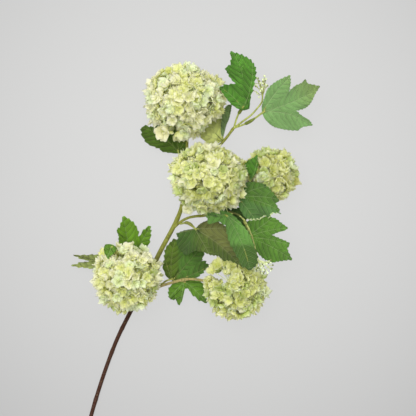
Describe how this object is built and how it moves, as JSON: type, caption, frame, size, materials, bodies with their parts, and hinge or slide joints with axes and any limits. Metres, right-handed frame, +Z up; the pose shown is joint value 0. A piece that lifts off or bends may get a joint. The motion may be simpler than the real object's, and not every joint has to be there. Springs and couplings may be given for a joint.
{
  "type": "artificial snowball viburnum spray",
  "caption": "Cut artificial flower spray: round heads of pale green blossom, lobed toothed leaves and tiny bud clusters on one slender curved stem, lying flat.",
  "frame": {"origin": "on the surface the spray lies on, at the middle of its footprint", "axes": "+Z up, +Y along the spray from the cut foot towards the tip, +X to the side that the right-hand blooms and leaves are on"},
  "size_m": [0.3327, 0.6461, 0.1318],
  "materials": {
    "stem_brown": "matt dark brown coating over wire, olive green towards the tip",
    "stem_green": "matt olive green coating",
    "leaf_dark": "printed satin cloth with pressed veins, dark green",
    "leaf_mid": "printed satin cloth with pressed veins, mid green",
    "leaf_pale": "printed satin cloth, pale olive green underside",
    "petals": "soft matt cloth, cream to pale green",
    "petals_lime": "soft matt cloth, pale lime green",
    "buds": "matt pale green moulded buds"
  },
  "bodies": {
    "root": {"main_stem": "stem_brown", "branch_lower_left": "stem_green", "branch_lower_right": "stem_green", "branch_right": "stem_green", "branch_right_tip": "stem_green", "branch_middle": "stem_green", "branch_behind": "stem_green", "branch_upper": "stem_green", "leaf_top": "leaf_dark", "leaf_top_right": "leaf_mid", "leaf_top_left": "leaf_dark", "leaf_behind_top": "leaf_pale", "leaf_behind_fold": "leaf_dark", "leaf_right_small": "leaf_dark", "leaf_right": "leaf_mid", "leaf_lower": "leaf_dark", "leaf_centre": "leaf_dark", "leaf_bent": "leaf_mid", "leaf_shaded": "leaf_dark", "leaf_lower_right": "leaf_mid", "leaf_hanging": "leaf_mid", "leaf_left_top": "leaf_mid", "leaf_left_flap": "leaf_mid", "leaf_left_edge": "leaf_pale", "buds_upper": "buds", "buds_lower": "buds", "bloom_top": "petals", "bloom_middle": "petals", "bloom_lower_left": "petals", "bloom_lower_right": "petals_lime", "bloom_right": "petals_lime"}
  },
  "joints": []
}
